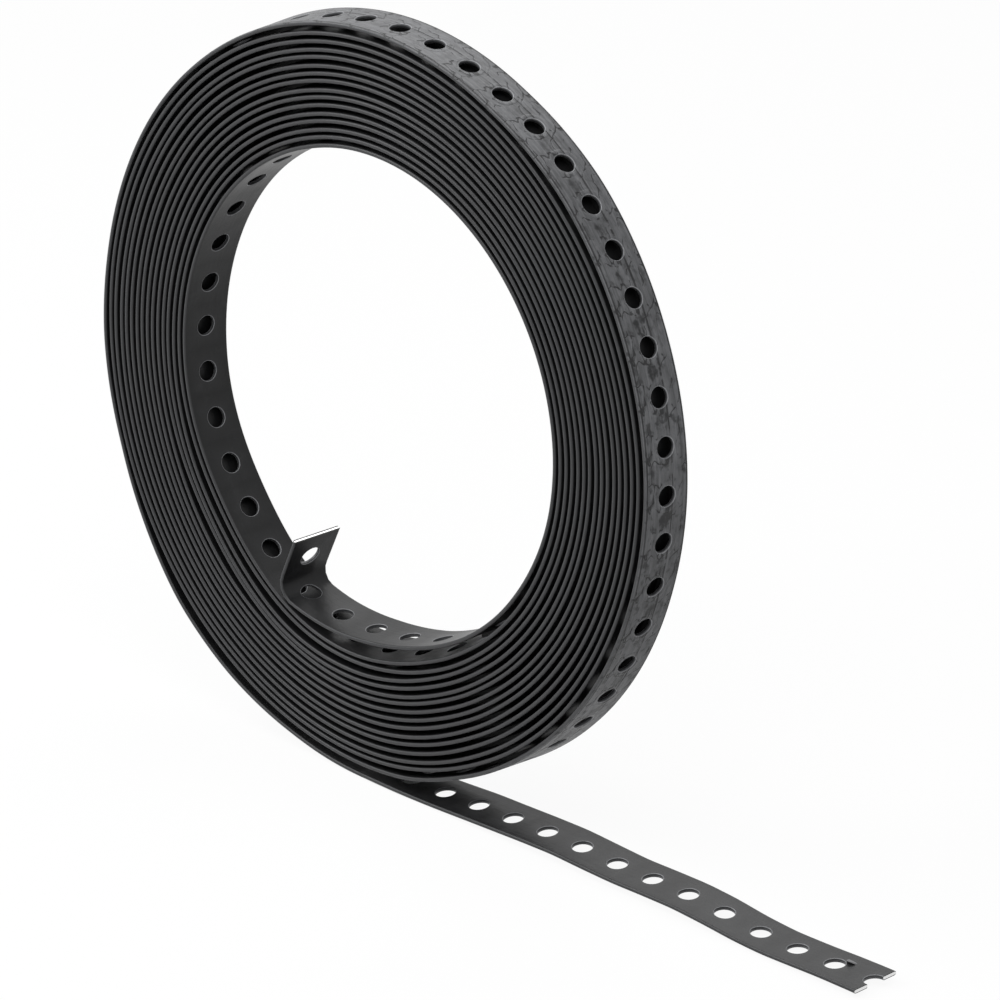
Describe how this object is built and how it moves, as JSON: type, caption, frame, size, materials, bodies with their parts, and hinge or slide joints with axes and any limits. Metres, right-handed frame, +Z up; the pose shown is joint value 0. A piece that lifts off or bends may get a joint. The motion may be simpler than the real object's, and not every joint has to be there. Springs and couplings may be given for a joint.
{
  "type": "perforated steel strap",
  "caption": "Coil of black coated perforated steel strap with one row of round holes, a loose tail and a bent inner end.",
  "frame": {"origin": "on the floor, under the middle of the box that holds the coil and its tail", "axes": "+X along the tail, away from the coil; +Y along the coil's axis; +Z up"},
  "size_m": [0.3322, 0.017, 0.2462],
  "materials": {
    "black_coat": "satin"
  },
  "bodies": {
    "root": {"strap": "black_coat"}
  },
  "joints": []
}
